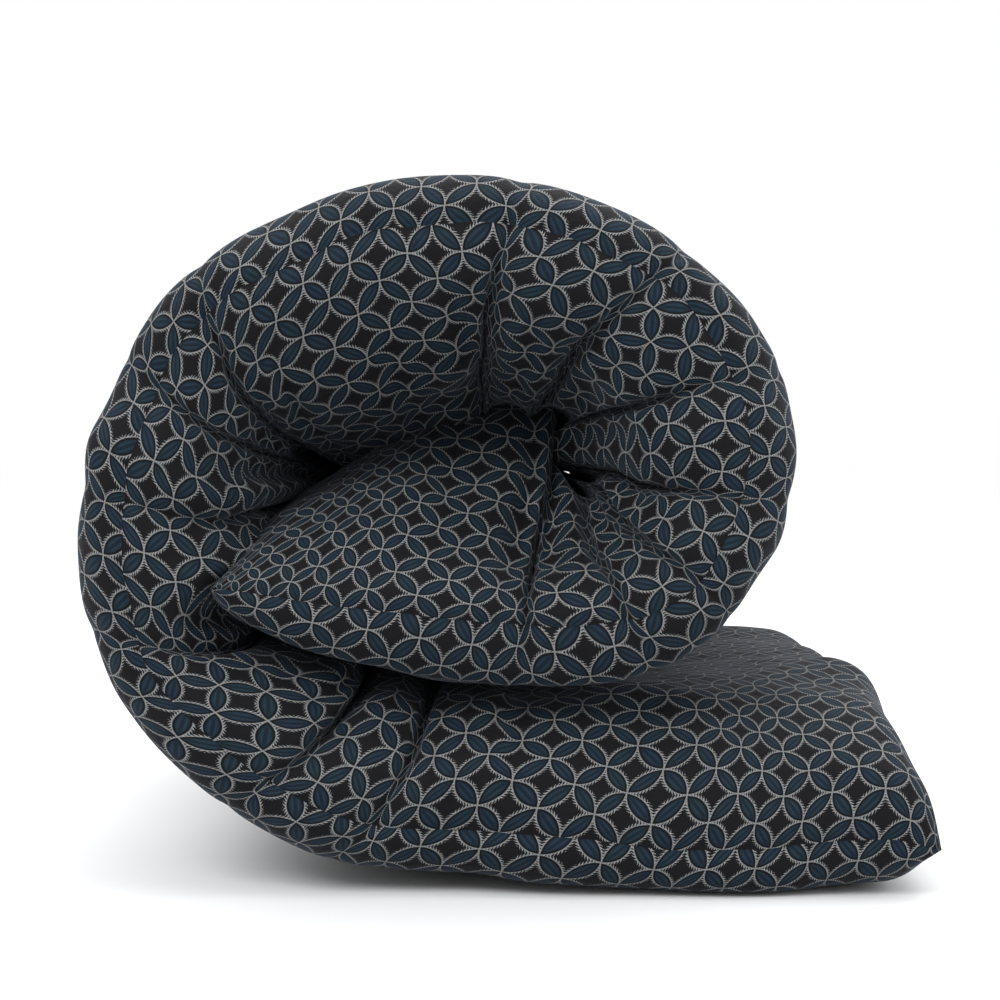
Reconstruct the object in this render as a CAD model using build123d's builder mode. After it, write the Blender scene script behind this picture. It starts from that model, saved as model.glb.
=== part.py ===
from build123d import *
from math import cos, degrees, radians, sin
import os

os.makedirs("parts", exist_ok=True)

# A long floor futon, rolled up on its own free end. Millimetres.
# X is to the right, Y across the mattress, Z up, and the floor is Z = 0. The free end
# lies on the floor to the right, outer face down. From there the mattress runs left,
# up, over the top, down the right side and back in, onto itself.

mattress_width = 700
thickness = 134
seam_height = 40            # of the edge seam, from the outer face
outer_edge_radius = 38      # where the outer face turns into the side
inner_edge_radius = 60      # where the inner face turns into the side
free_end_radius = 80        # where the inner face turns down over the free end

cover_thickness = 1.2
batting_clearance = 0.5     # between the batting and its cover
end_clearance = 0.2         # from a section's end to the plane it shares with the next

# The outer face is a chain of arcs. Each section is the stretch between two of the
# folds where the mattress bends, and the first has a straight run on the floor too.
free_end_x = 299.5
floor_run = 350
bend_radius = [245, 215, 290, 290, 205, 215, 320, 240, 175, 206, 168, 165, 190, 520]
bend_turn = [16, 25, 33, 20, 26, 24, 43, 30, 34, 28, 33, 25, 26, 20]
sections = len(bend_turn)

# The inner end thins down to its edge seam. The taper starts at these shares of the
# last bend, and the tip is at this depth from the outer face.
outer_taper_start = 0.42
inner_taper_start = 0.25
tip_depth = 0.45 * thickness
past_the_faces = 30         # of a cutting outline, where it has nothing to cut


def inward(heading):
    """From the outer face to the inner one. Heading 0 runs left along the floor."""
    return Vector(sin(radians(heading)), 0, cos(radians(heading)))


def across(centre, radius, heading):
    """The plane across the mattress: x along its width, y from the outer face in."""
    along = Vector(-cos(radians(heading)), 0, sin(radians(heading)))
    origin = centre - inward(heading) * radius
    return Plane(origin=origin, x_dir=(0, -1, 0), z_dir=along)


# Where each bend starts, its centre and its heading
heading = 0
place = Vector(free_end_x - floor_run, 0, 0)
bends = []
for radius, turn in zip(bend_radius, bend_turn):
    centre = place + inward(heading) * radius
    bends.append((centre, radius, heading, turn))
    heading += turn
    place = centre - inward(heading) * radius


def cushion(number, inset, low=0, high=thickness):
    """One section of the stuffed mattress, moved in by inset on its outer faces, and
    only from depth low to depth high."""
    centre, radius, start, turn = bends[number]
    trim = degrees(end_clearance / (radius - thickness))
    first = start + trim if number else start
    end = start + turn if number == sections - 1 else start + turn - trim
    with BuildPart() as body:
        planes = [across(centre, radius, first)]
        if number == 0:
            planes.append(planes[0].offset(-floor_run))
        for plane in planes:
            with BuildSketch(plane) as outline:
                with Locations((0, thickness / 2)):
                    Rectangle(mattress_width - 2 * inset, thickness - 2 * inset)
                rows = outline.vertices().group_by(Axis.Y)
                fillet(rows[0], outer_edge_radius - inset)
                rows = outline.vertices().group_by(Axis.Y)
                fillet(rows[-1], inner_edge_radius - inset)
                with Locations((0, (low + high) / 2)):
                    Rectangle(mattress_width, high - low, mode=Mode.INTERSECT)
            if plane is planes[0]:
                revolve(axis=Axis(centre, (0, 1, 0)), revolution_arc=end - first)
            else:
                extrude(amount=floor_run)
        if number == 0:
            with BuildSketch(Plane.XZ) as free_end:
                with Locations((free_end_x, thickness / 2)):
                    Rectangle(2 * mattress_width, thickness, align=(Align.MAX, Align.CENTER))
                right = free_end.vertices().group_by(Axis.X)[-1].sort_by(Axis.Y)
                fillet(right[0], outer_edge_radius)
                right = free_end.vertices().group_by(Axis.X)[-1].sort_by(Axis.Y)
                fillet(right[-1], free_end_radius)
                offset(amount=-inset)
            extrude(amount=mattress_width, both=True, mode=Mode.INTERSECT)
        if number == sections - 1:
            middle = Vector(centre.X, centre.Z)

            def at(share, depth):
                way = inward(start + share * turn)
                return middle - Vector(way.X, way.Z) * (radius - depth)

            def along(share):
                way = inward(start + share * turn)
                return Vector(-way.Z, way.X)

            tip = at(1, tip_depth)
            with BuildSketch(Plane.XZ) as inner_end:
                with BuildLine():
                    Polyline(
                        at(outer_taper_start, 0),
                        at(0, -past_the_faces),
                        at(0, thickness + past_the_faces),
                        at(inner_taper_start, thickness),
                    )
                    TangentArc(at(outer_taper_start, 0), tip, tangent=along(outer_taper_start))
                    TangentArc(at(inner_taper_start, thickness), tip, tangent=along(inner_taper_start))
                make_face()
                offset(amount=-inset)
            extrude(amount=mattress_width, both=True, mode=Mode.INTERSECT)
    return body.part


for number in range(sections):
    name = f"{number + 1:02d}"
    filling = cushion(number, cover_thickness)

    # The cover's outer panel comes round the edge, up to the seam
    with BuildPart() as outer_panel:
        add(cushion(number, 0, high=seam_height))
        add(filling, mode=Mode.SUBTRACT)
    outer_panel.part.label = f"outer_panel_{name}"
    export_step(outer_panel.part, f"parts/outer_panel_{name}.step")

    # The inner panel covers the rest of the side and the inner face
    with BuildPart() as inner_panel:
        add(cushion(number, 0, low=seam_height))
        add(filling, mode=Mode.SUBTRACT)
    inner_panel.part.label = f"inner_panel_{name}"
    export_step(inner_panel.part, f"parts/inner_panel_{name}.step")

    # The cotton batting fills the cover
    with BuildPart() as batting:
        add(cushion(number, cover_thickness + batting_clearance))
    batting.part.label = f"batting_{name}"
    export_step(batting.part, f"parts/batting_{name}.step")
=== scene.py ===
import math

import bpy
import numpy as np
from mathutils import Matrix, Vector


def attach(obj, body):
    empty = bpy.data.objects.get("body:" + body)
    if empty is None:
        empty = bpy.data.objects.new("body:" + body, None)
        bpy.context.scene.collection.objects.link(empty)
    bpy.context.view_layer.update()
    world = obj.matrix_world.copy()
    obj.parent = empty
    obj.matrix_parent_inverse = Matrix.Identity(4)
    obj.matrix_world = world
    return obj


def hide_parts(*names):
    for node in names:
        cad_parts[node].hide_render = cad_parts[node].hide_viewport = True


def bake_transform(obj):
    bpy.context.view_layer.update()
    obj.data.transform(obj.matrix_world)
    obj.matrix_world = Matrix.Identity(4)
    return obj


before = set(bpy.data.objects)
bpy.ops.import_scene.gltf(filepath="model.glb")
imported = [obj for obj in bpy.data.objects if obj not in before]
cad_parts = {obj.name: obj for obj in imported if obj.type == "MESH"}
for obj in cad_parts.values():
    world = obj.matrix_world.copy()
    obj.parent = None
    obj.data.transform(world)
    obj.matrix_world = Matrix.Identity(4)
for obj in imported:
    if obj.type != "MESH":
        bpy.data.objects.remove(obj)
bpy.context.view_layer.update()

# ---------------------------------------------------------------- the mattress, in mm
WIDTH, THICK = 700.0, 134.0
SEAM = 37.0                    # depth of the edge seam from the outer face
SEAM_RISE = 20.0               # how far the seam wanders inwards near the inner end
SEAM_TIP = 26.0                # its depth at the tip of the inner end
SEAM_LIPS = (2.5, 3.0)         # net lines beside the seam, on its outer and inner side
SEAM_GROOVE, GROOVE_WIDTH = 3.2, 5.0
OUTER_EDGE, INNER_EDGE, INNER_REACH = 32.0, 88.0, 120.0
FREE_END_X, FLOOR_RUN = 299.5, 350.0
BEND_RADIUS = [245, 215, 290, 290, 205, 215, 320, 240, 175, 206, 168, 165, 190, 560]
BEND_TURN = [16, 25, 33, 20, 26, 24, 43, 30, 34, 28, 33, 25, 26, 24.0]
# How far each fold has shifted along the mattress where it reaches the inner face,
# and how deep it is beside the others
FOLD_LEAN = [-70, -48, -76, -34, -20, -66, -22, -45, -20, 10, -12, -16, 0]
FOLD_DEPTH = [1.0, 1.1, 0.9, 0.7, 1.0, 1.2, 1.15, 0.9, 1.0, 1.0, 0.9, 1.0, 1.1]
FOLD_MOUTH = 5.0               # width of a fold's steep part, on each side
FOLD_SINK = (1.8, 20.5, 1.25)  # depth at the outer face, what the inner face adds, growth
FOLD_RIM = 0.42                # share of the depth that the rounded shoulder takes
SHOULDER = (16.0, 30.0)        # its width at the outer face, and what the inner face adds
FOLD_CLOSED = 0.8              # share of the depth that is lost deep inside the hollow
NARROWEST, NARROW_RANGE = 7.0, 26.0          # half width of a section that its folds squeeze
PUFF = (0.5, 5.0)              # swelling of a section at the outer face, and what is added
SKIN = 5.0                     # of the drawn surface inside the nominal one, before it puffs up
# How far the middle of the inner face swells past the edges: a value in each section
# up to the last, then just past the last fold, in the last section and near the tip
CROWN = [3, 3, 3, 6, 30, 62, 96, 96, 80, 80, 66, 66, 84, 140, 104, 40]
CROWN_PAST_FOLD, CROWN_TIP = 18.0, 40.0
CROWN_FALL = 2.5
SAG, SPREAD = 9.0, 11.0        # of the roll under its weight
ROLL_TOP, ROLL_X, ROLL_REACH = 515.0, -70.0, 250.0
CLEAR_OF_FOLD = 7.0            # kept between a section's middle and the folds beside it
FOLD_RISE = 28.0               # of the inner face beside a fold, over its section's middle
# The inner end's bulge over the last fold: its size, length, and rise beside its reach
BULGE, BULGE_LENGTH, BULGE_RISE = 22.0, 60.0, 0.8
ROW = 7.0                      # rows of the net along the mattress
END_ROWS = 12
FREE_TAPER, TIP_TAPER = 66.0, 115.0          # where the inner face starts to close
FREE_UNDER, TIP_UNDER = 34.0, 70.0           # the same for the outer face
FREE_ROUND, TIP_ROUND = (2.3, 2.2), (1.9, 1.7)
# The wall beside the inner end: the stretch it lies along, how far it overlaps the
# end, and how much it may give way or fill
WALL_START, WALL_STOP, WALL_STEP = 300.0, 800.0, 4.0
WALL_OVERLAP, WALL_GIVE, WALL_FILL, WALL_FREE = 7.0, -70.0, 62.0, 12.0
WALL_SMOOTH, WALL_PAD = 15, 12
NO_WALL = 250.0                # room beyond this is the far side of the roll
# The inner end's outer face, as the wall meets it: its length, points, nearest distance
UNDER_REACH, UNDER_POINTS, UNDER_NEAREST = 560.0, 240, 60
# Creases that gather the cloth along the inner edge. Lean, width, depth and beginning are
# drawn at random, and each crease fades out across the mattress
CREASE_FIRST, CREASE_END, CREASE_STEP, CREASE_SHIFT = 430.0, 130.0, 21.0, 8
CREASE_LEAN, CREASE_WIDTH, CREASE_DEPTH, CREASE_BEGIN = 26, (4.5, 8.5), (3.0, 10.0), (0.28, 0.72)
CREASE_REACH, CREASE_ACROSS, CREASE_MIDDLE = 70, 330.0, 0.15
# Unevenness of the stuffing: axis, size of the waves, height, seed
LUMPS = ((0, 210, 3.2, 1), (1, 190, 2.6, 2), (2, 210, 3.0, 3),
         (0, 70, 1.1, 4), (2, 70, 1.1, 5), (1, 80, 1.8, 6))
LUMP_WAVES = 14
CORNER_SIZE, CORNER_SHIFT = 26.0, (1, -5, -8)
FLOOR_GAP, FLOOR_PRESS, LOWEST = 2.0, 0.15, 0.3    # what lies below the gap is pressed flat
SECTIONS = len(BEND_TURN)
RNG = np.random.default_rng(7)

turns = np.radians(BEND_TURN)
radii = np.array(BEND_RADIUS, float)
arc_len = turns * radii
seg_start = np.concatenate([[0.0, FLOOR_RUN], FLOOR_RUN + np.cumsum(arc_len)])
TOTAL = seg_start[-1]
head0 = np.concatenate([[0.0], np.cumsum(turns)])
folds = seg_start[2:-1]        # on the outer face, from the free end


def inward(heading):
    return np.stack([np.sin(heading), np.cos(heading)], -1)


centres = []
at = np.array([FREE_END_X - FLOOR_RUN, 0.0])
for k in range(SECTIONS):
    centre = at + inward(head0[k]) * radii[k]
    centres.append(centre)
    at = centre - inward(head0[k + 1]) * radii[k]
centres = np.array(centres)


def heading_at(s):
    k = np.clip(np.searchsorted(seg_start, s, "right") - 2, -1, SECTIONS - 1)
    kk = np.maximum(k, 0)
    return np.where(k < 0, 0.0, head0[kk] + (s - seg_start[kk + 1]) / radii[kk])


def outer_face(s):
    """Points of the outer face in (x, z) and the way inwards there."""
    k = np.clip(np.searchsorted(seg_start, s, "right") - 2, -1, SECTIONS - 1)
    kk = np.maximum(k, 0)
    n = inward(heading_at(s))
    straight = np.stack([FREE_END_X - s, np.zeros_like(s)], -1)
    curved = centres[kk] - radii[kk, None] * n
    return np.where((k < 0)[:, None], straight, curved), n


# ---------------------------------------------------------------- the cross-section
FLAT_OUT, ROUND_OUT, ROUND_IN, FLAT_IN = 16, 7, 21, 13    # points in each run


def half_section():
    """(across, depth, across normal, depth normal, girth) from the middle of the outer
    face round one side to the middle of the inner face; the normals point inwards."""
    half = WIDTH / 2
    flat_o, flat_i = half - OUTER_EDGE, half - INNER_REACH
    pts = [(y, 0.0, 0.0, 1.0) for y in np.linspace(0, flat_o, FLAT_OUT)[:-1]]
    for a in np.linspace(0, math.pi / 2, ROUND_OUT)[:-1]:
        side, up = math.sin(a), math.cos(a)
        pts.append((flat_o + OUTER_EDGE * side, OUTER_EDGE * (1 - up), -side, up))
    low, high = OUTER_EDGE, THICK - INNER_EDGE
    for h in [low, SEAM - SEAM_LIPS[0], SEAM, SEAM + SEAM_LIPS[1], high]:
        pts.append((half, h, -1.0, 0.0))
    for a in np.linspace(0, math.pi / 2, ROUND_IN)[1:-1]:
        way = np.array([math.cos(a) / INNER_REACH, math.sin(a) / INNER_EDGE])
        way /= np.linalg.norm(way)
        across = flat_i + INNER_REACH * math.cos(a)
        pts.append((across, high + INNER_EDGE * math.sin(a), -way[0], -way[1]))
    pts += [(y, THICK, 0.0, -1.0) for y in np.linspace(flat_i, 0, FLAT_IN)]
    pts = np.array(pts)
    girth = np.concatenate([[0], np.cumsum(np.hypot(*np.diff(pts[:, :2], axis=0).T))])
    return pts, girth


half, girth = half_section()
seam_at = int(np.argmin(np.abs(half[:, 1] - SEAM) + 1000 * (half[:, 0] < WIDTH / 2 - 1)))
# the ring runs outer middle -> +Y side -> inner middle -> -Y side
ring = np.concatenate([half, (half * [-1, 1, -1, 1])[-2:0:-1]])
ring_girth = np.concatenate([girth, 2 * girth[-1] - girth[-2:0:-1]])
NV = len(ring)
seams = {seam_at, NV - seam_at}
ring_is_inner = np.array([seam_at <= j < NV - seam_at for j in range(NV)])


# ---------------------------------------------------------------- rows along it
def end_rows(reach):
    return reach * (1 - np.cos(np.linspace(0, math.pi / 2, END_ROWS)))


rows = list(end_rows(FREE_TAPER))
edges = np.concatenate([[FREE_TAPER], folds, [TOTAL - TIP_TAPER]])
for a, b in zip(edges[:-1], edges[1:]):
    n = max(4, int(round((b - a) / ROW)))
    rows += list(np.linspace(a, b, n + 1)[1:])
rows += list(TOTAL - end_rows(TIP_TAPER)[::-1][1:])
rows = np.array(rows)
NU = len(rows)
section_of_row = np.searchsorted(folds, rows, "left")
edges_s = np.concatenate([[0.0], folds, [TOTAL]])
section_middles = (edges_s[:-1] + edges_s[1:]) / 2
last_crowns = [folds[-1] + CROWN_PAST_FOLD, section_middles[-1], TOTAL - CROWN_TIP]
crown_at = np.append(section_middles[:-1], last_crowns)
lean = np.concatenate([[0.0], FOLD_LEAN, [0.0]])
depth_of = np.concatenate([[0.0], FOLD_DEPTH, [0.0]])


def room_inside(s):
    """How far the inner end lies from the outer face, measured inwards at s."""
    under = np.linspace(TOTAL - UNDER_REACH, TOTAL, UNDER_POINTS)
    place, n = outer_face(under)
    place = place + n * (SEAM_TIP * (1 - blunt((TOTAL - under) / TIP_UNDER, TIP_ROUND[1])))[:, None]
    room = []
    for base, way in zip(*outer_face(s)):
        off = place - base
        across, along = off @ np.array([way[1], -way[0]]), off @ way
        hit = np.flatnonzero((across[:-1] * across[1:] <= 0) & (along[:-1] > UNDER_NEAREST))
        room.append(along[hit].min() if len(hit) else np.nan)
    return np.array(room)


def waves(points, size, count, seed):
    """Smooth noise of about unit size: a sum of plane waves."""
    rng = np.random.default_rng(seed)
    total = np.zeros(len(points))
    for _ in range(count):
        way = rng.normal(size=3)
        way /= np.linalg.norm(way)
        k = 2 * math.pi / (size * rng.uniform(0.7, 1.5))
        total += np.sin(points @ way * k + rng.uniform(0, 6.28))
    return total / math.sqrt(count / 2)


def blunt(t, power):
    t = np.clip(t, 0, 1)
    return (1 - (1 - t) ** power) ** (1 / power)


reach_s = np.arange(WALL_START, WALL_STOP, WALL_STEP)
room = room_inside(reach_s)
spare = np.clip(room - THICK + WALL_OVERLAP, WALL_GIVE, WALL_FILL)
spare = np.where(np.isnan(room) | (room > NO_WALL), WALL_FREE, spare)
window = np.hanning(WALL_SMOOTH)
spare = np.convolve(np.pad(spare, WALL_PAD, mode="edge"), window / window.sum(), "same")[WALL_PAD:-WALL_PAD]

# Each crease: place, lean, width, depth, where it begins in the depth, and its side
creases = []
for side in (-1, 1):
    starts = np.arange(CREASE_FIRST, TOTAL - CREASE_END, CREASE_STEP)
    for c in starts + RNG.uniform(-CREASE_SHIFT, CREASE_SHIFT, len(starts)):
        creases.append((c, RNG.uniform(-CREASE_LEAN, CREASE_LEAN), RNG.uniform(*CREASE_WIDTH),
                        RNG.uniform(*CREASE_DEPTH), RNG.uniform(*CREASE_BEGIN), side))


def gathers(u, y, share):
    total = np.zeros(NV)
    for c, slant, wide, depth, begin, side in creases:
        if abs(u - c) > CREASE_REACH:
            continue
        ramp = np.clip((share - begin) / (1 - begin), 0, 1)
        near = np.clip(CREASE_MIDDLE + side * y / CREASE_ACROSS, 0, 1)
        total += depth * ramp * near * np.exp(-(((u - c - slant * (share - begin)) / wide) ** 2))
    return total


def lie(x, z):
    """Where a place ends up as the roll sags a little under its weight, and spreads."""
    height = np.clip(z / ROLL_TOP, 0, 1)
    aside = np.sin(math.pi * height) ** 1.2 * np.clip((x - ROLL_X) / ROLL_REACH, -0.3, 1)
    return x + SPREAD * aside, z - SAG * height ** 1.5


def fold_line(k, settled=False):
    """Where fold k starts on the outer face, and the way across it, towards the inner end."""
    (start, stop), n = outer_face(np.array([folds[k], folds[k] + FOLD_LEAN[k]]))
    top = stop + n[1] * THICK
    ahead = outer_face(np.array([folds[k] + 1.0]))[0][0] - start
    if settled:
        start, top = np.array(lie(*start)), np.array(lie(*top))
    line = top - start
    way = np.array([line[1], -line[0]]) / np.linalg.norm(line)
    return start, way if way @ ahead > 0 else -way


fold_lines = [fold_line(k) for k in range(SECTIONS - 1)]


def ceiling_of(k):
    """The height over the outer face at which the middle of section k meets a fold line."""
    h = np.arange(90.0, 260.0, 1.0)
    low = edges_s[k] + lean[k] * np.minimum(h / THICK, 1)
    high = edges_s[k + 1] + lean[k + 1] * np.minimum(h / THICK, 1)
    place, n = outer_face((low + high) / 2)
    at_h = place + n * h[:, None]
    clear = np.ones(len(h), bool)
    for j, side in ((k - 1, 1), (k, -1)):
        if 0 <= j < SECTIONS - 1:
            start, way = fold_lines[j]
            clear &= side * ((at_h - start) @ way) > CLEAR_OF_FOLD
    return h[len(h) - 1 if clear.all() else max(np.argmin(clear) - 1, 0)]


ceilings = [ceiling_of(k) for k in range(SECTIONS)]


def surface():
    """The whole cover: its vertices, and how deep each is in a fold."""
    out, grip = [], []
    for u, k in zip(rows, section_of_row):
        y, h, ny, nh = ring.T.copy()
        # the seam wanders towards the middle at the inner end
        blend_in = np.clip((u - folds[10]) / (folds[12] - folds[10]), 0, 1)
        seam_u = SEAM + SEAM_RISE * blend_in * blend_in * (3 - 2 * blend_in)
        near_tip = np.clip((u - folds[12]) / (TOTAL - folds[12]), 0, 1)
        seam_u += (SEAM_TIP - seam_u) * near_tip ** 1.5
        past_seam = THICK - (THICK - h) * (THICK - seam_u) / (THICK - SEAM)
        h = np.where(h <= SEAM, h * seam_u / SEAM, past_seam)
        # both ends close on the seam
        inner = h >= seam_u
        f = np.where(inner, blunt(u / FREE_TAPER, FREE_ROUND[0]), blunt(u / FREE_UNDER, FREE_ROUND[1]))
        x_end = TOTAL - u
        tip_in, tip_out = blunt(x_end / TIP_TAPER, TIP_ROUND[0]), blunt(x_end / TIP_UNDER, TIP_ROUND[1])
        f = f * np.where(inner, tip_in, tip_out)
        f = np.where(np.abs(h - seam_u) < 1e-6, 1.0, f)
        h = seam_u + (h - seam_u) * f
        share = h / THICK
        s_lo = edges_s[k] + lean[k] * share
        s_hi = edges_s[k + 1] + lean[k + 1] * share
        mid_u = (edges_s[k] + edges_s[k + 1]) / 2
        s_mid = (s_lo + s_hi) / 2
        upper = u > mid_u
        q = abs(u - mid_u)
        half_u = mid_u - edges_s[k]
        free = (k == 0 and not upper) or (k == SECTIONS - 1 and upper)
        span = (s_hi - s_lo) / 2
        sign = 1.0 if upper else -1.0
        if free:
            s = s_mid + sign * q / half_u * span
            sink = np.zeros(NV)
            tight = np.zeros(NV)
        else:
            seen = span - h * (heading_at(s_hi) - heading_at(s_lo)) / 2
            seen = np.maximum(seen, NARROWEST)
            rim = np.maximum(seen - FOLD_MOUTH, 2.0)
            start = np.minimum(rim, half_u - FOLD_MOUTH)
            e = np.clip((q - start) / (half_u - start), 0, 1)
            x = np.where(q <= start, q * rim / start, rim + FOLD_MOUTH * e)
            s = s_mid + sign * x / seen * span
            force = depth_of[k + 1] if upper else depth_of[k]
            deep = force * (FOLD_SINK[0] + FOLD_SINK[1] * share ** FOLD_SINK[2])
            rim_deep = FOLD_RIM * deep
            shoulder = np.minimum(SHOULDER[0] + SHOULDER[1] * share, rim)
            to_rim = np.clip((rim - x) / shoulder, 0, 1)
            steep = rim_deep + (deep - rim_deep) * e ** 0.75
            sink = np.where(q <= start, rim_deep * (1 - to_rim) ** 2.3, steep)
            # a lobe squeezed narrow sinks as a whole
            narrow = np.clip(1 - (seen - NARROWEST) / NARROW_RANGE, 0, 1)
            sink = np.maximum(sink, narrow * deep * 0.95)
            tight = np.where(q <= start, 0.0, e)
        bow = f if free else np.cos(np.clip(q / half_u, 0, 1) * math.pi / 2) ** 2
        swell = (PUFF[0] + PUFF[1] * share) * bow
        across_share = np.clip(np.abs(ring[:, 0]) / (WIDTH / 2), 0, 1)
        inside = (1 - across_share ** 2) ** CROWN_FALL * (share > 0.5)
        crown = np.interp(u, crown_at, CROWN) * inside * f
        sink = sink * (1 - FOLD_CLOSED * inside)
        groove = np.zeros(NV)
        for j in seams:
            beside = (ring_girth - ring_girth[j]) / GROOVE_WIDTH
            groove = np.maximum(groove, SEAM_GROOVE * np.exp(-(beside ** 2)))
        # the wall beside the inner end gives way to it, and fills the room under it
        wall = np.interp(s, reach_s, spare, 0.0, 0.0) * np.clip(share, 0, 1) ** 1.6
        sink = sink + gathers(u, y, share) * f
        move = (sink - swell + groove) * np.where(free & (f < 1), f, 1.0)
        y = y + ny * move
        h = h + nh * move + wall + crown + SKIN * (1 - 2 * share)
        if not free:
            h = np.minimum(h, ceilings[k] + FOLD_RISE * (q / half_u) ** 2)
        place, n = outer_face(np.clip(s, 0, TOTAL))
        xz = place + n * h[:, None]
        # deep inside, the inner end bulges over the last fold
        bulge = BULGE * inside * math.exp(-(((u - folds[-1]) / BULGE_LENGTH) ** 2))
        xz[:, 0] += bulge * (u >= folds[-1])
        xz[:, 1] += BULGE_RISE * bulge
        out.append(np.stack([xz[:, 0], y, xz[:, 1]], -1))
        grip.append(tight)
    return np.array(out), np.array(grip)


net, tight = surface()
flat_net = net.reshape(-1, 3)
for axis, size, amount, seed in LUMPS:
    flat_net[:, axis] += waves(flat_net, size, LUMP_WAVES, seed) * amount
flat_net[:, 0], flat_net[:, 2] = lie(flat_net[:, 0], flat_net[:, 2])
# a tucked corner sticks out of the free end
from_corner = np.tile(ring_girth - ring_girth[NV - seam_at], NU) / CORNER_SIZE
corner_near = np.exp(-((np.repeat(rows, NV) / CORNER_SIZE) ** 2) - (from_corner ** 2))
for axis, shift in enumerate(CORNER_SHIFT):
    flat_net[:, axis] += shift * corner_near
# it lies flat on the floor
pressed = FLOOR_GAP + (flat_net[:, 2] - FLOOR_GAP) * FLOOR_PRESS
flat_net[:, 2] = np.maximum(np.where(flat_net[:, 2] < FLOOR_GAP, pressed, flat_net[:, 2]), LOWEST)


def faces():
    quads, index = [], np.arange(NU * NV).reshape(NU, NV)
    nxt = np.roll(index, -1, axis=1)
    for i in range(NU - 1):
        quads.append(np.stack([index[i], nxt[i], nxt[i + 1], index[i + 1]], -1))
    return np.concatenate(quads)


quads = faces()
quad_row = np.repeat(np.arange(NU - 1), NV)
quad_col = np.tile(np.arange(NV), NU - 1)


def fabric_rows(column):
    """Length of cloth along the mattress at each row, true to the curve at both ends."""
    length = np.linalg.norm(np.diff(net[:, column], axis=0), axis=1)
    u = rows.copy()
    for i in range(END_ROWS - 2, -1, -1):
        u[i] = u[i + 1] - length[i]
    for i in range(NU - END_ROWS + 1, NU):
        u[i] = u[i - 1] + length[i - 1]
    return u


PANEL_SHIFT = (9.0, 13.0)       # of the print on the inner panel


def uv_of():
    """Fabric place of each corner, in metres. The two panels are cut from different
    places of the cloth."""
    by_panel = np.array([fabric_rows(0), fabric_rows(NV // 2)])
    panel = ring_is_inner[quad_col].astype(int)
    along, across = panel * PANEL_SHIFT[0], panel * PANEL_SHIFT[1]
    u0, u1 = by_panel[panel, quad_row] + along, by_panel[panel, quad_row + 1] + along
    wrap = np.append(ring_girth, 2 * girth[-1])
    v0, v1 = wrap[quad_col] + across, wrap[quad_col + 1] + across
    corners = ((u0, v0), (u0, v1), (u1, v1), (u1, v0))
    return np.stack([np.stack(c, -1) for c in corners], 1) / 1000.0


def mesh_object(name, verts, polys, uv=None):
    mesh = bpy.data.meshes.new(name)
    mesh.from_pydata(verts.tolist(), [], polys.tolist())
    if uv is not None:
        layer = mesh.uv_layers.new(name="fabric")
        layer.data.foreach_set("uv", uv.reshape(-1).astype(np.float32))
    mesh.polygons.foreach_set("use_smooth", np.ones(len(mesh.polygons), bool))
    mesh.validate()
    obj = bpy.data.objects.new(name, mesh)
    bpy.context.scene.collection.objects.link(obj)
    return obj


whole = mesh_object("cover_whole", flat_net / 1000.0, quads, uv_of())
row_tag = whole.data.attributes.new("row_tag", "FLOAT", "POINT")
row_tag.data.foreach_set("value", np.repeat(np.arange(NU, dtype=np.float32), NV))


LOOSE_HOLD, SEAM_HOLD = 0.12, 0.9       # how firmly the stuffing and the seams hold the cloth
SETTLE_FRAMES, CACHE_FRAMES = 16, 20
MOST_MOVED = 0.007                      # metres


def settle(obj):
    """Lets the cloth relax over the stuffing, held at the seams and in the folds."""
    grip = np.clip(tight.reshape(-1), 0, 1)
    weights = LOOSE_HOLD + (1 - LOOSE_HOLD) * grip
    cols = np.tile(np.arange(NV), NU)
    for j in seams:
        weights = np.where(cols == j, SEAM_HOLD, weights)
    weights[:NV] = weights[-NV:] = 1.0
    weights = np.round(weights, 2)
    group = obj.vertex_groups.new(name="held")
    for value in np.unique(weights):
        group.add(np.flatnonzero(weights == value).tolist(), float(value), "REPLACE")
    before = np.array([v.co for v in obj.data.vertices], float)
    cloth = obj.modifiers.new("cloth", "CLOTH")
    s = cloth.settings
    s.quality = 5
    s.mass = 0.25
    s.tension_stiffness = s.compression_stiffness = 18
    s.shear_stiffness = 8
    s.bending_stiffness = 0.35
    s.use_pressure = True
    s.uniform_pressure_force = 3.5
    s.shrink_min = -0.035
    s.vertex_group_mass = "held"
    s.pin_stiffness = 2.0
    s.effector_weights.gravity = 0.0
    cloth.collision_settings.use_collision = False
    cloth.point_cache.frame_start, cloth.point_cache.frame_end = 1, CACHE_FRAMES
    scene = bpy.context.scene
    for frame_number in range(1, SETTLE_FRAMES + 1):
        scene.frame_set(frame_number)
    done = obj.evaluated_get(bpy.context.evaluated_depsgraph_get())
    after = np.array([v.co for v in done.data.vertices], float)
    obj.modifiers.remove(cloth)
    scene.frame_set(1)
    moved = after - before
    far = np.linalg.norm(moved, axis=1, keepdims=True)
    moved *= MOST_MOVED * np.tanh(far / MOST_MOVED) / np.maximum(far, 1e-9)
    if not np.isfinite(moved).all():
        moved[:] = 0
    after = before + moved
    after[:, 2] = np.maximum(after[:, 2], LOWEST / 1000.0)
    obj.data.vertices.foreach_set("co", after.reshape(-1).astype(np.float32))
    obj.data.update()


settle(whole)

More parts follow.
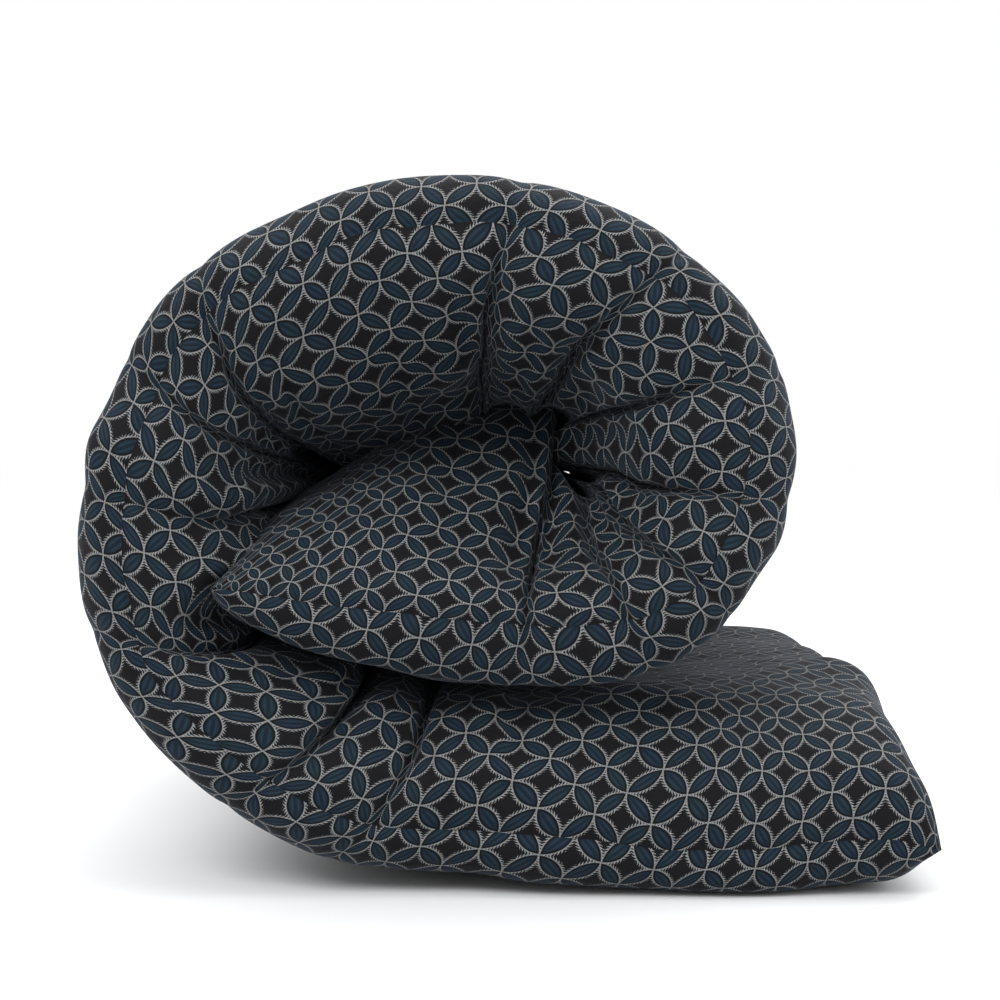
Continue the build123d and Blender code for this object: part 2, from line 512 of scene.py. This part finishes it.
modifier = whole.modifiers.new("finer", "SUBSURF")
modifier.levels = modifier.render_levels = 1
done = whole.evaluated_get(bpy.context.evaluated_depsgraph_get())
fine = bpy.data.meshes.new_from_object(done)
co = np.array([v.co for v in fine.vertices], float)
normals = np.array([n.vector for n in fine.vertex_normals], float)
tag = np.empty(len(fine.vertices), np.float32)
fine.attributes["row_tag"].data.foreach_get("value", tag)
corner = np.empty(len(fine.loops), np.int32)
fine.loops.foreach_get("vertex_index", corner)
uv = np.empty(len(fine.loops) * 2, np.float32)
fine.uv_layers["fabric"].data.foreach_get("uv", uv)
polys, uv = corner.reshape(-1, 4), uv.reshape(-1, 4, 2)
bpy.data.objects.remove(whole)


# ---------------------------------------------------------------- materials
def node(tree, kind, **inputs):
    """A new node. Names that begin with an underscore are settings, the others inputs."""
    made = tree.nodes.new(kind)
    for key, value in inputs.items():
        if key.startswith("_"):
            setattr(made, key[1:], value)
        else:
            made.inputs[key].default_value = value
    return made


class Maths:
    """Chains of Math nodes, written as formulas."""

    def __init__(self, tree):
        self.tree = tree

    def __call__(self, operation, *args):
        made = self.tree.nodes.new("ShaderNodeMath")
        made.operation = operation
        for i, a in enumerate(args):
            if isinstance(a, (int, float)):
                made.inputs[i].default_value = a
            else:
                self.tree.links.new(a, made.inputs[i])
        return made.outputs[0]


def mix(tree, factor, a, b):
    made = tree.nodes.new("ShaderNodeMix")
    made.data_type = "RGBA"
    made.clamp_factor = True
    for socket, value in ((0, factor), (6, a), (7, b)):
        if isinstance(value, (tuple, float, int)):
            made.inputs[socket].default_value = value
        else:
            tree.links.new(value, made.inputs[socket])
    return made.outputs[2]


def step(m, x, at_value, soft):
    """0 below at_value, 1 above, with a soft edge."""
    ramp = m("DIVIDE", m("SUBTRACT", x, at_value - soft), 2 * soft)
    return m("SMOOTH_MIN", 1.0, m("MAXIMUM", 0.0, ramp), 0.05)


# The print: circles that overlap, so that each pair leaves a leaf between them
LATTICE = 0.0268               # spacing of the circles, in metres
HALF_DIAGONAL = 0.7071         # radius of a circle, in spacings, as all the edges below are
# Each edge: its distance in from the leaf's rim, or out from its rib, and its softness
OUTLINE_OUT, OUTLINE_IN = (0.004, 0.009), (0.016, 0.008)
LEAF_EDGE, LEAF_CORE = (0.068, 0.013), (0.105, 0.016)
RIB_LINE, RIB_BAND = (0.052, 0.012), (0.085, 0.014)
TEETH, TEETH_SLANT, TOOTH_LENGTH = 8.4, 16.0, 0.085
BLACK, WORN_BLACK = (0.0026, 0.0026, 0.0036, 1), (0.0060, 0.0052, 0.0060, 1)
NAVY, TEAL, STREAK = (0.0062, 0.0145, 0.029, 1), (0.007, 0.0185, 0.025, 1), (0.004, 0.007, 0.012, 1)
GREY, PALE = (0.060, 0.066, 0.074, 1), (0.27, 0.272, 0.268, 1)
MARGIN_BLACK = (0.002, 0.002, 0.0025, 1)
RIB_LIGHT, RIB_DARK = (0.016, 0.03, 0.043, 1), (0.003, 0.006, 0.010, 1)


def printed_cotton():
    mat = bpy.data.materials.new("printed_cotton")
    mat.use_nodes = True
    tree = mat.node_tree
    m = Maths(tree)
    shader = tree.nodes["Principled BSDF"]
    place = node(tree, "ShaderNodeUVMap", _uv_map="fabric")
    # the printing wanders a little on the cloth
    wander = node(tree, "ShaderNodeTexNoise", Scale=14.0, Detail=1.0)
    tree.links.new(place.outputs[0], wander.inputs["Vector"])
    centred = node(tree, "ShaderNodeVectorMath", _operation="SUBTRACT")
    centred.inputs[1].default_value = (0.5, 0.5, 0.5)
    tree.links.new(wander.outputs["Color"], centred.inputs[0])
    small = node(tree, "ShaderNodeVectorMath", _operation="SCALE", Scale=0.006)
    tree.links.new(centred.outputs[0], small.inputs[0])
    moved = node(tree, "ShaderNodeVectorMath", _operation="ADD")
    tree.links.new(place.outputs[0], moved.inputs[0])
    tree.links.new(small.outputs[0], moved.inputs[1])
    split = tree.nodes.new("ShaderNodeSeparateXYZ")
    tree.links.new(moved.outputs[0], split.inputs[0])
    u, v = split.outputs[0], split.outputs[1]
    turn = math.sqrt(0.5) / LATTICE
    p = m("MULTIPLY", m("ADD", u, v), turn)
    q = m("MULTIPLY", m("SUBTRACT", u, v), turn)
    fx = m("ABSOLUTE", m("SUBTRACT", m("FRACT", p), 0.5))
    fy = m("ABSOLUTE", m("SUBTRACT", m("FRACT", q), 0.5))
    big, low = m("MAXIMUM", fx, fy), m("MINIMUM", fx, fy)
    away = m("SUBTRACT", 1.0, big)
    reach = m("SQRT", m("ADD", m("MULTIPLY", away, away), m("MULTIPLY", low, low)))
    inside = m("SUBTRACT", HALF_DIAGONAL, reach)     # over 0 in a leaf, 0.207 at its rib
    rib = m("SUBTRACT", 0.5, big)                    # from the leaf's middle line
    # ragged outer edge of the pale outline: slanting teeth, uneven
    along = m("ARCTAN2", low, away)
    grain = node(tree, "ShaderNodeTexNoise", Scale=900.0, Detail=1.0)
    tree.links.new(place.outputs[0], grain.inputs["Vector"])
    rough = m("SUBTRACT", grain.outputs["Fac"], 0.5)
    cell = m("ADD", m("MULTIPLY", m("FLOOR", p), 3.7), m("MULTIPLY", m("FLOOR", q), 5.3))
    slant = m("ADD", m("MULTIPLY", along, TEETH), m("MULTIPLY", inside, TEETH_SLANT))
    teeth = m("FRACT", m("ADD", slant, cell))
    tooth = m("MULTIPLY", m("POWER", m("SUBTRACT", 1.0, teeth), 1.6), TOOTH_LENGTH)
    ragged = m("ADD", tooth, m("MULTIPLY", rough, 0.05))
    outer_edge = step(m, m("ADD", inside, ragged), *OUTLINE_OUT)
    inner_edge = step(m, m("ADD", inside, m("MULTIPLY", rough, 0.03)), *OUTLINE_IN)
    outline = m("MULTIPLY", outer_edge, m("SUBTRACT", 1.0, inner_edge))
    leaf = step(m, inside, *LEAF_EDGE)
    margin = m("MULTIPLY", inner_edge, m("SUBTRACT", 1.0, leaf))
    rib_line = m("SUBTRACT", 1.0, step(m, m("ADD", rib, m("MULTIPLY", teeth, 0.022)), *RIB_LINE))
    rib_band = m("SUBTRACT", 1.0, step(m, rib, *RIB_BAND))
    rib_edge = m("MULTIPLY", rib_band, m("SUBTRACT", 1.0, rib_line))
    in_leaf = step(m, inside, *LEAF_CORE)
    # colours
    blotch = node(tree, "ShaderNodeTexNoise", Scale=45.0, Detail=2.0)
    tree.links.new(place.outputs[0], blotch.inputs["Vector"])
    streak = node(tree, "ShaderNodeTexNoise", Scale=380.0, Detail=2.0)
    tree.links.new(place.outputs[0], streak.inputs["Vector"])
    ground = mix(tree, blotch.outputs["Fac"], BLACK, WORN_BLACK)
    navy = mix(tree, step(m, blotch.outputs["Fac"], 0.5, 0.12), NAVY, TEAL)
    navy = mix(tree, m("MULTIPLY", streak.outputs["Fac"], 0.55), navy, STREAK)
    pale = mix(tree, grain.outputs["Fac"], GREY, PALE)
    colour = mix(tree, leaf, ground, navy)
    colour = mix(tree, m("MULTIPLY", margin, 0.75), colour, MARGIN_BLACK)
    colour = mix(tree, m("MULTIPLY", m("MULTIPLY", rib_edge, in_leaf), 0.45), colour, RIB_LIGHT)
    colour = mix(tree, m("MULTIPLY", m("MULTIPLY", rib_line, in_leaf), 0.55), colour, RIB_DARK)
    colour = mix(tree, outline, colour, pale)
    tree.links.new(colour, shader.inputs["Base Color"])
    shader.inputs["Roughness"].default_value = 0.72
    shader.inputs["Specular IOR Level"].default_value = 0.085
    shader.inputs["Sheen Weight"].default_value = 0.05
    shader.inputs["Sheen Roughness"].default_value = 0.45
    shader.inputs["Sheen Tint"].default_value = (0.75, 0.82, 1.0, 1)
    # weave and small creases
    fine_creases = node(tree, "ShaderNodeTexNoise", Scale=60.0, Detail=4.0, Roughness=0.6)
    tree.links.new(place.outputs[0], fine_creases.inputs["Vector"])
    weave = node(tree, "ShaderNodeTexNoise", Scale=1500.0, Detail=0.0)
    tree.links.new(place.outputs[0], weave.inputs["Vector"])
    relief = m("ADD", fine_creases.outputs["Fac"], m("MULTIPLY", weave.outputs["Fac"], 0.05))
    bump = node(tree, "ShaderNodeBump", Strength=0.5, Distance=0.004)
    tree.links.new(relief, bump.inputs["Height"])
    tree.links.new(bump.outputs[0], shader.inputs["Normal"])
    return mat


def wadding():
    mat = bpy.data.materials.new("cotton_batting")
    mat.use_nodes = True
    tree = mat.node_tree
    shader = tree.nodes["Principled BSDF"]
    tuft = node(tree, "ShaderNodeTexNoise", Scale=90.0, Detail=5.0)
    colour = mix(tree, tuft.outputs["Fac"], (0.70, 0.66, 0.58, 1), (0.88, 0.85, 0.79, 1))
    tree.links.new(colour, shader.inputs["Base Color"])
    shader.inputs["Roughness"].default_value = 0.95
    return mat


cotton, batting_look = printed_cotton(), wadding()


# ---------------------------------------------------------------- pieces of the cover
section_names = [f"section_{k + 1:02d}" for k in range(SECTIONS)]
middle_rows = [int(np.argmin(np.abs(rows - middle))) for middle in section_middles]
cuts = [-1.0] + [float(middle_rows[k]) for k in range(1, SECTIONS - 1)] + [float(NU)]
centre_tag = tag[polys].mean(1)
# How far the cover would bend on each side of a fold: at most, at least, and its share of the
# room before the piece ends. The widths are worked out below, but nothing uses them
BLEND_MOST, BLEND_LEAST, BLEND_SHARE = 30.0, 0.6, 0.97

for k in range(SECTIONS - 1):
    low, high = cuts[k], cuts[k + 1]
    chosen = (centre_tag > low) & (centre_tag < high)
    used, local = np.unique(polys[chosen], return_inverse=True)
    name = f"cover_{k + 1:02d}"
    piece = mesh_object(name, co[used], local.reshape(-1, 4), uv[chosen])
    piece.data.normals_split_custom_set_from_vertices(normals[used].tolist())
    piece.data.materials.append(cotton)
    # distances across the fold, along the way square to it, and the widths on each side
    out_pt, way = fold_line(k, settled=True)
    xz = co[used][:, [0, 2]] * 1000.0
    t = (xz - out_pt) @ way
    b = [BLEND_MOST, BLEND_MOST]
    for side, edge in ((0, low), (1, high)):
        on_edge = np.abs(tag[used] - edge) < 0.01
        if on_edge.any():
            clear = float(np.min(t[on_edge] * (1 if side else -1))) * BLEND_SHARE
            b[side] = max(BLEND_LEAST, min(b[side], clear))
    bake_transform(piece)
    shown = [k + 1] if k < SECTIONS - 2 else [k + 1, k + 2]
    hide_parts(*[f"{panel}_{i:02d}" for i in shown for panel in ("outer_panel", "inner_panel")])


# ---------------------------------------------------------------- the batting
INSET = 42.0                   # of the batting inside the cover
STATIONS, FIRST_SHARE, LAST_SHARE = 7, 0.06, 0.94
FREE_GAP, TIP_GAP = 70.0, 120.0              # left empty at the two ends


def batting_ring(k, share_u):
    """One loop of section k's batting, share_u of the way through the section."""
    y, h = ring[::4, 0].copy(), ring[::4, 1].copy()
    h = THICK / 2 + (h - THICK / 2) * (THICK / 2 - INSET) / (THICK / 2)
    y = y * (WIDTH / 2 - INSET) / (WIDTH / 2)
    share = h / THICK
    lo = edges_s[k] + lean[k] * share
    hi = edges_s[k + 1] + lean[k + 1] * share
    if k == 0:
        lo = np.full_like(share, FREE_GAP)
    if k == SECTIONS - 1:
        hi = np.full_like(share, TOTAL - TIP_GAP)
    s = lo + (hi - lo) * share_u
    # pressed flat where the wall gives way
    h = h + np.minimum(np.interp(s, reach_s, spare, 0.0, 0.0), 0) * np.clip(share, 0, 1)
    pts, n = outer_face(s)
    xz = pts + n * h[:, None]
    x, z = lie(xz[:, 0], xz[:, 1])
    return np.stack([x, y, z], -1)


for k in range(SECTIONS):
    loops = np.array([batting_ring(k, share_u) for share_u in np.linspace(FIRST_SHARE, LAST_SHARE, STATIONS)])
    nr, nc = loops.shape[:2]
    idx = np.arange(nr * nc).reshape(nr, nc)
    side = []
    for i in range(nr - 1):
        for j in range(nc):
            after = (j + 1) % nc
            side.append([idx[i, j], idx[i, after], idx[i + 1, after], idx[i + 1, j]])
    caps = [idx[0, ::-1].tolist(), idx[-1].tolist()]
    mesh = bpy.data.meshes.new(f"batting_fill_{k + 1:02d}")
    mesh.from_pydata((loops.reshape(-1, 3) / 1000).tolist(), [], side + caps)
    mesh.polygons.foreach_set("use_smooth", np.ones(len(mesh.polygons), bool))
    fill = bpy.data.objects.new(mesh.name, mesh)
    bpy.context.scene.collection.objects.link(fill)
    mesh.materials.append(batting_look)
    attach(fill, section_names[k])
    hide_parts(f"batting_{k + 1:02d}")


# ---------------------------------------------------------------- stage, lights, camera
# The floor's colour holds painted shade: it greys towards the camera and runs to plain white far off
FLOOR_SIZE, FLOOR_BACK = 60, 10               # metres, and how far its middle lies behind
FLOOR_NEAR, FLOOR_FAR = -1.2, 1.6             # where its colour runs from one to the other
NEAR_PAINTED_SHADE_COLOUR, FAR_COLOUR = (0.66, 0.668, 0.682, 1), (1.0, 1.0, 1.0, 1)
bpy.ops.mesh.primitive_plane_add(size=FLOOR_SIZE, location=(0, FLOOR_BACK, 0))
floor = bpy.context.object
floor.name = "floor"
white = bpy.data.materials.new("white_floor_painted_shade")
white.use_nodes = True
shader = white.node_tree.nodes["Principled BSDF"]
where = node(white.node_tree, "ShaderNodeNewGeometry")
apart = node(white.node_tree, "ShaderNodeSeparateXYZ")
white.node_tree.links.new(where.outputs["Position"], apart.inputs[0])
far_off = node(white.node_tree, "ShaderNodeMapRange")
far_off.inputs["From Min"].default_value = FLOOR_NEAR
far_off.inputs["From Max"].default_value = FLOOR_FAR
white.node_tree.links.new(apart.outputs[1], far_off.inputs["Value"])
# painted shade in the floor's colour, greyer near the camera and white far off
paper_with_painted_shade = mix(white.node_tree, far_off.outputs[0], NEAR_PAINTED_SHADE_COLOUR, FAR_COLOUR)
white.node_tree.links.new(paper_with_painted_shade, shader.inputs["Base Color"])
shader.inputs["Roughness"].default_value = 0.45
floor.data.materials.append(white)

world = bpy.context.scene.world or bpy.data.worlds.new("World")
bpy.context.scene.world = world
world.use_nodes = True
background = world.node_tree.nodes["Background"]
bpy.context.scene.view_settings.view_transform = "Standard"
background.inputs["Color"].default_value = (1.0, 1.0, 1.0, 1)
background.inputs["Strength"].default_value = 1.0


def softbox(name, place, target, size, power):
    data = bpy.data.lights.new(name, "AREA")
    data.shape = "RECTANGLE"
    data.size, data.size_y = size
    data.energy = power
    lamp = bpy.data.objects.new(name, data)
    bpy.context.scene.collection.objects.link(lamp)
    lamp.location = place
    lamp.rotation_euler = (Vector(target) - Vector(place)).to_track_quat("-Z", "Y").to_euler()


softbox("key", (-1.3, -2.2, 2.2), (0, -0.2, 0.25), (1.4, 1.4), 70)
softbox("top", (0.2, 0.3, 2.4), (0, 0, 0.2), (2.0, 2.0), 45)
softbox("right", (2.4, -1.0, 1.2), (0, 0, 0.25), (1.2, 1.6), 30)

# The camera's distance is measured from a plane just inside the roll's front side
PLANE_Y, DISTANCE, EYE_HEIGHT, SIDEWAYS = -0.310, 1.440, 0.314, -0.001
LOOK_DOWN = 1.55               # degrees
camera_data = bpy.data.cameras.new("camera")
camera_data.lens = 73.5
camera_data.sensor_width = 36.0
camera_data.clip_start, camera_data.clip_end = 0.05, 50
camera = bpy.data.objects.new("camera", camera_data)
bpy.context.scene.collection.objects.link(camera)
camera.location = (SIDEWAYS, PLANE_Y - DISTANCE, EYE_HEIGHT)
camera.rotation_euler = (math.radians(90 - LOOK_DOWN), 0, 0)
bpy.context.scene.camera = camera
